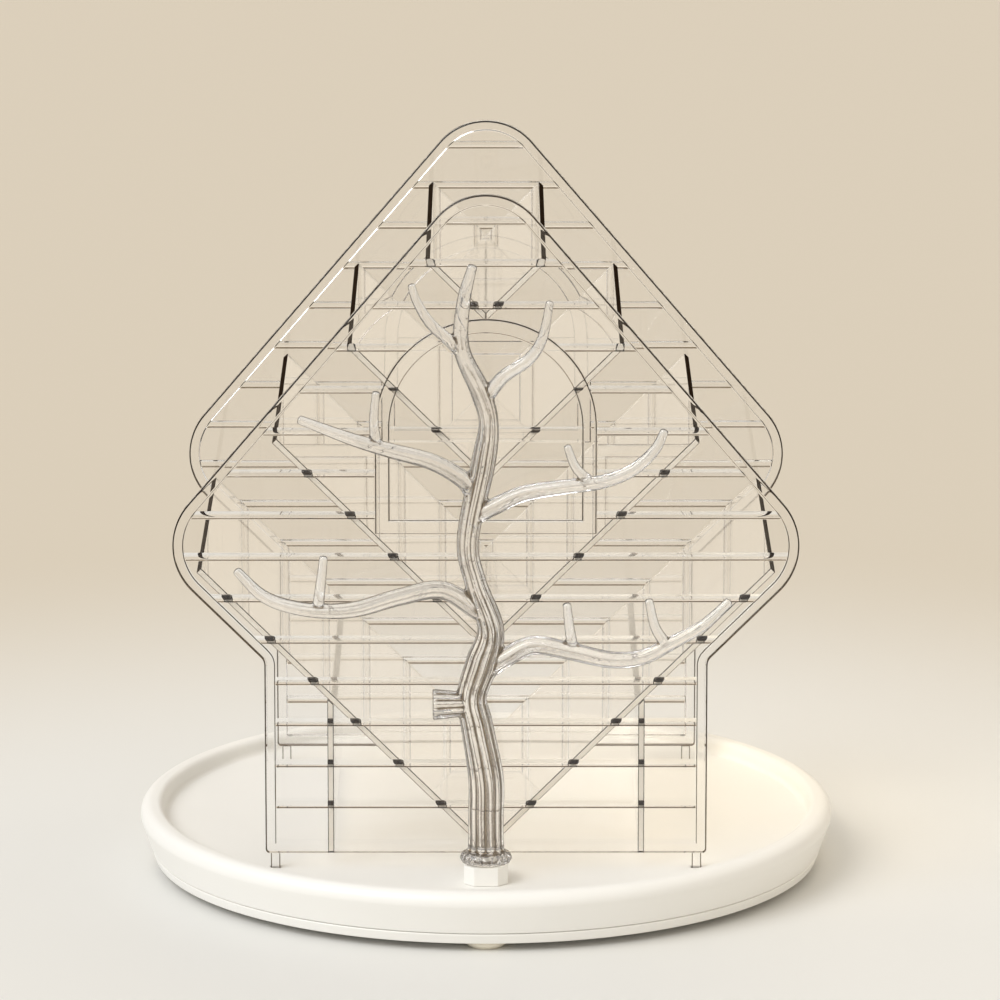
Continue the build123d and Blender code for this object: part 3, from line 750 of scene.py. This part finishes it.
trunk = [(0, 0, -1.0, 12.6), (0, 0, 5.0, 12.0), (0, 0, 13.2, 12.0), (0, 0, 27.2, 12.0),
         (-3.0, 0, 45.2, 11.0), (-4.8, 0, 56.2, 10.2), (-1.2, 0, 68.2, 11.0), (1.7, 0, 80.2, 9.0),
         (-3.8, 0, 97.2, 7.6), (-6.2, 0, 112.2, 7.6), (-0.9, 0, 139.2, 8.4), (0.9, 0, 153.2, 6.8),
         (-1.8, 0, 164.2, 7.0), (-8.2, 0, 179.2, 5.6), (-7.7, 0, 195.2, 4.8), (-4.6, 0, 208.2, 3.4)]
cut_stub = [(-4.5, 0, 53.2, 8.8), (-10, 0.5, 53.2, 9.0), (-18, 1, 53.2, 10.4)]
lower_left = [(-2.0, 0, 86.2, 6.6), (-15, 1, 94.2, 6.4), (-30, 3, 92.2, 6.0), (-46, 5, 88.2, 5.6),
              (-62, 7, 88.7, 5.0), (-76, 8, 93.2, 4.4), (-86, 8, 102.7, 3.2)]
lower_left_twig = [(-58.2, 6.5, 88.4, 4.2), (-57, 7, 98.2, 3.6), (-56, 7, 107.2, 3.0)]
lower_right = [(0.0, 0, 65.2, 7.0), (7, 1, 70.2, 6.8), (16.5, 2, 74.8, 6.6), (29, 4, 73.2, 6.2),
               (43, 6, 70.6, 5.8), (54, 7, 71.6, 5.4), (64, 8, 76.8, 4.8), (75, 8, 83.2, 4.0),
               (84, 8, 91.7, 3.2)]
lower_right_fork = [(62.5, 8, 76.2, 4.2), (58.5, 8, 82.7, 3.6), (56.3, 8, 92.2, 3.0)]
lower_right_twig = [(30.3, 4.2, 73.4, 4.2), (29, 5, 81.2, 3.6), (28, 5.5, 90.2, 3.0)]
middle_left = [(-4.0, 0, 128.2, 6.4), (-8, 1, 133.7, 6.2), (-18.5, 3, 140.2, 5.8), (-34, 5, 145, 5.2),
               (-47, 6, 149.2, 4.4), (-64, 6, 155.7, 3.2)]
middle_left_twig = [(-37.6, 5.2, 145.9, 4.0), (-38.5, 5.5, 155.2, 3.4), (-37.7, 6, 165.2, 2.8)]
middle_right = [(-5.0, 0, 119.6, 6.2), (3, 1, 124, 6.0), (13, 2.5, 128.8, 5.6), (26, 4, 131.4, 5.2),
                (39.5, 5, 133.4, 4.8), (50, 6, 137.6, 4.4), (58, 6, 144.8, 3.8), (61.5, 6, 151.7, 3.0)]
middle_right_twig = [(36.5, 4.8, 133, 4.0), (31, 5.5, 138.7, 3.4), (28, 5.5, 146.2, 2.8)]
upper_left = [(-7.6, 0, 177.2, 4.4), (-12.5, 1, 182.4, 4.2), (-19, 2, 188.7, 3.8), (-23.5, 3, 196.2, 3.2),
              (-25.5, 3, 202.2, 2.8)]
upper_right = [(-0.6, 0, 161.2, 5.0), (6, 1, 169.7, 4.6), (14.5, 2, 175.8, 4.2), (19.5, 3, 183.7, 3.6),
               (22, 3, 196.2, 2.8)]

collar_outline = [(0, 18.85), (4.15, 18.85), (4.15, 23.85), (8.75, 23.85), (8.75, 27.75), (0, 27.75)]
collar_rounds = [0, 0.6, 0.3, 1.5, 1.7, 0]
collar_points, collar_faces = turned(rounded(collar_outline, collar_rounds)[0], 96)
bead_count = 20
bead_height = 0.035
bead_bottom = 24
beading = np.cos(bead_count * np.arctan2(collar_points[:, 1], collar_points[:, 0]))
swell = 1 + bead_height * (beading * (collar_points[:, 2] > bead_bottom))
collar_points = collar_points * np.stack([swell, swell, np.ones(len(swell))], -1)
branches = [lower_left, lower_right, middle_left, middle_right, upper_left, upper_right]
twigs = [lower_left_twig, lower_right_fork, lower_right_twig, middle_left_twig, middle_right_twig]
limbs = [limb(trunk, flutes=11, depth=0.06), limb(cut_stub, flutes=11, depth=0.06, cut_off=True)]
limbs += [limb(route, flutes=7, depth=0.06) for route in branches]
limbs += [limb(route, flutes=5, depth=0.03) for route in twigs]
collar = (collar_points - (0, tree_plane, 0), collar_faces)
tree = piece("tree_moulding", *joined(collar, *limbs), [crystal], "tree", "clear_tree", "jewellery_tree")

# A fine voxel skin melts the limbs together at the forks, and a light smoothing evens it out.
melt = tree.modifiers.new("melt", "REMESH")
melt.mode = "VOXEL"
melt.voxel_size = 0.00045
even = tree.modifiers.new("even", "SMOOTH")
even.factor = 0.5
even.iterations = 3
moulded = bpy.data.meshes.new_from_object(tree.evaluated_get(bpy.context.evaluated_depsgraph_get()))
tree.modifiers.clear()
tree.data = moulded
moulded.polygons.foreach_set("use_smooth", [True] * len(moulded.polygons))
moulded.materials.clear()
moulded.materials.append(crystal)


# Studio: a plain pale floor that warms with distance, a pale sky, one wide soft sun, and the camera.
# Only reflected and bent rays see darker air at the sides, which gives the clear edges their dark lines.

floor_stone = finish_called("pale_floor")
place = node(floor_stone, "ShaderNodeTexCoord")
reach = node(floor_stone, "ShaderNodeVectorMath", {1: (0.0, -0.12, 0.0)}, {0: place.outputs["Object"]},
             operation="SUBTRACT")
far = node(floor_stone, "ShaderNodeVectorMath", links={0: reach.outputs["Vector"]}, operation="LENGTH")
warm = node(floor_stone, "ShaderNodeMapRange", {"From Min": 0.24, "From Max": 0.62},
            {"Value": far.outputs["Value"]}, interpolation_type="SMOOTHSTEP")
ground = node(floor_stone, "ShaderNodeMix", {"A": linear("#E6E5E1"), "B": linear("#D0C6B5")},
              {"Factor": warm.outputs["Result"]}, data_type="RGBA")
stone = node(floor_stone, "ShaderNodeBsdfPrincipled", {"Roughness": 0.5},
             {"Base Color": ground.outputs["Result"]})
node(floor_stone, "ShaderNodeOutputMaterial", links={"Surface": stone.outputs["BSDF"]})
floor_mesh = bpy.data.meshes.new("floor")
floor_mesh.from_pydata([(-9, -9, 0), (9, -9, 0), (9, 9, 0), (-9, 9, 0)], [], [(0, 1, 2, 3)])
floor_mesh.materials.append(floor_stone)
floor = bpy.data.objects.new("floor", floor_mesh)
bpy.context.scene.collection.objects.link(floor)

world = bpy.data.worlds.new("studio")
bpy.context.scene.world = world
world.use_nodes = True
world.node_tree.nodes.clear()
sight = node(world, "ShaderNodeTexCoord")
look = node(world, "ShaderNodeSeparateXYZ", links={"Vector": sight.outputs["Generated"]})
depth = node(world, "ShaderNodeMath", links={0: look.outputs["Y"]}, operation="ABSOLUTE")
back = node(world, "ShaderNodeMapRange", {"From Min": 0.5, "From Max": 0.92},
            {"Value": depth.outputs["Value"]}, interpolation_type="SMOOTHSTEP")
overhead = node(world, "ShaderNodeMapRange", {"From Min": 0.2, "From Max": 0.5},
                {"Value": look.outputs["Z"]}, interpolation_type="SMOOTHSTEP")
open_air = node(world, "ShaderNodeMath", links={0: back.outputs["Result"], 1: overhead.outputs["Result"]},
                operation="MAXIMUM")
path = node(world, "ShaderNodeLightPath")
glass_sees = node(world, "ShaderNodeMath",
                  links={0: path.outputs["Is Glossy Ray"], 1: path.outputs["Is Transmission Ray"]},
                  operation="MAXIMUM")
cards = node(world, "ShaderNodeMix", {2: 1.0},
             {0: glass_sees.outputs["Value"], 3: open_air.outputs["Value"]})
towards = node(world, "ShaderNodeVectorMath", {1: (-0.72, -0.40, 0.56)}, {0: sight.outputs["Generated"]},
               operation="DOT_PRODUCT")
side = node(world, "ShaderNodeMapRange", {"From Min": -0.3, "From Max": 0.95},
            {"Value": towards.outputs["Value"]}, interpolation_type="SMOOTHSTEP")
sky = node(world, "ShaderNodeMix", {"A": linear("#F4E8D4"), "B": linear("#F6F8FB")},
           {"Factor": side.outputs["Result"]}, data_type="RGBA")
air = node(world, "ShaderNodeMix", {"A": linear("#2A231C")},
           {"Factor": cards.outputs[0], "B": sky.outputs["Result"]}, data_type="RGBA")
level = node(world, "ShaderNodeMapRange", {"To Min": 1.0, "To Max": 0.66}, {"Value": side.outputs["Result"]})
dome = node(world, "ShaderNodeBackground",
            links={"Color": air.outputs["Result"], "Strength": level.outputs["Result"]})
node(world, "ShaderNodeOutputWorld", links={"Surface": dome.outputs["Background"]})
softbox = bpy.data.lights.new("softbox", "SUN")
softbox.angle = math.radians(40.0)
softbox.energy = 1.68
key = bpy.data.objects.new("softbox", softbox)
key.rotation_euler = (math.radians(47.0), 0, math.radians(-50.0))
bpy.context.scene.collection.objects.link(key)
bpy.context.scene.cycles.max_bounces = 32
bpy.context.scene.cycles.transmission_bounces = 32
bpy.context.scene.cycles.glossy_bounces = 12

lens = bpy.data.cameras.new("camera")
lens.lens = 257.3
lens.sensor_width = 36.0
lens.clip_end = 30.0
camera = bpy.data.objects.new("camera", lens)
camera.location = (0.00175, -2.4932, 0.7162)
camera.rotation_euler = (math.radians(76.83), 0, math.radians(-0.075))
bpy.context.scene.collection.objects.link(camera)
bpy.context.scene.camera = camera
bpy.context.scene.view_settings.view_transform = "Standard"
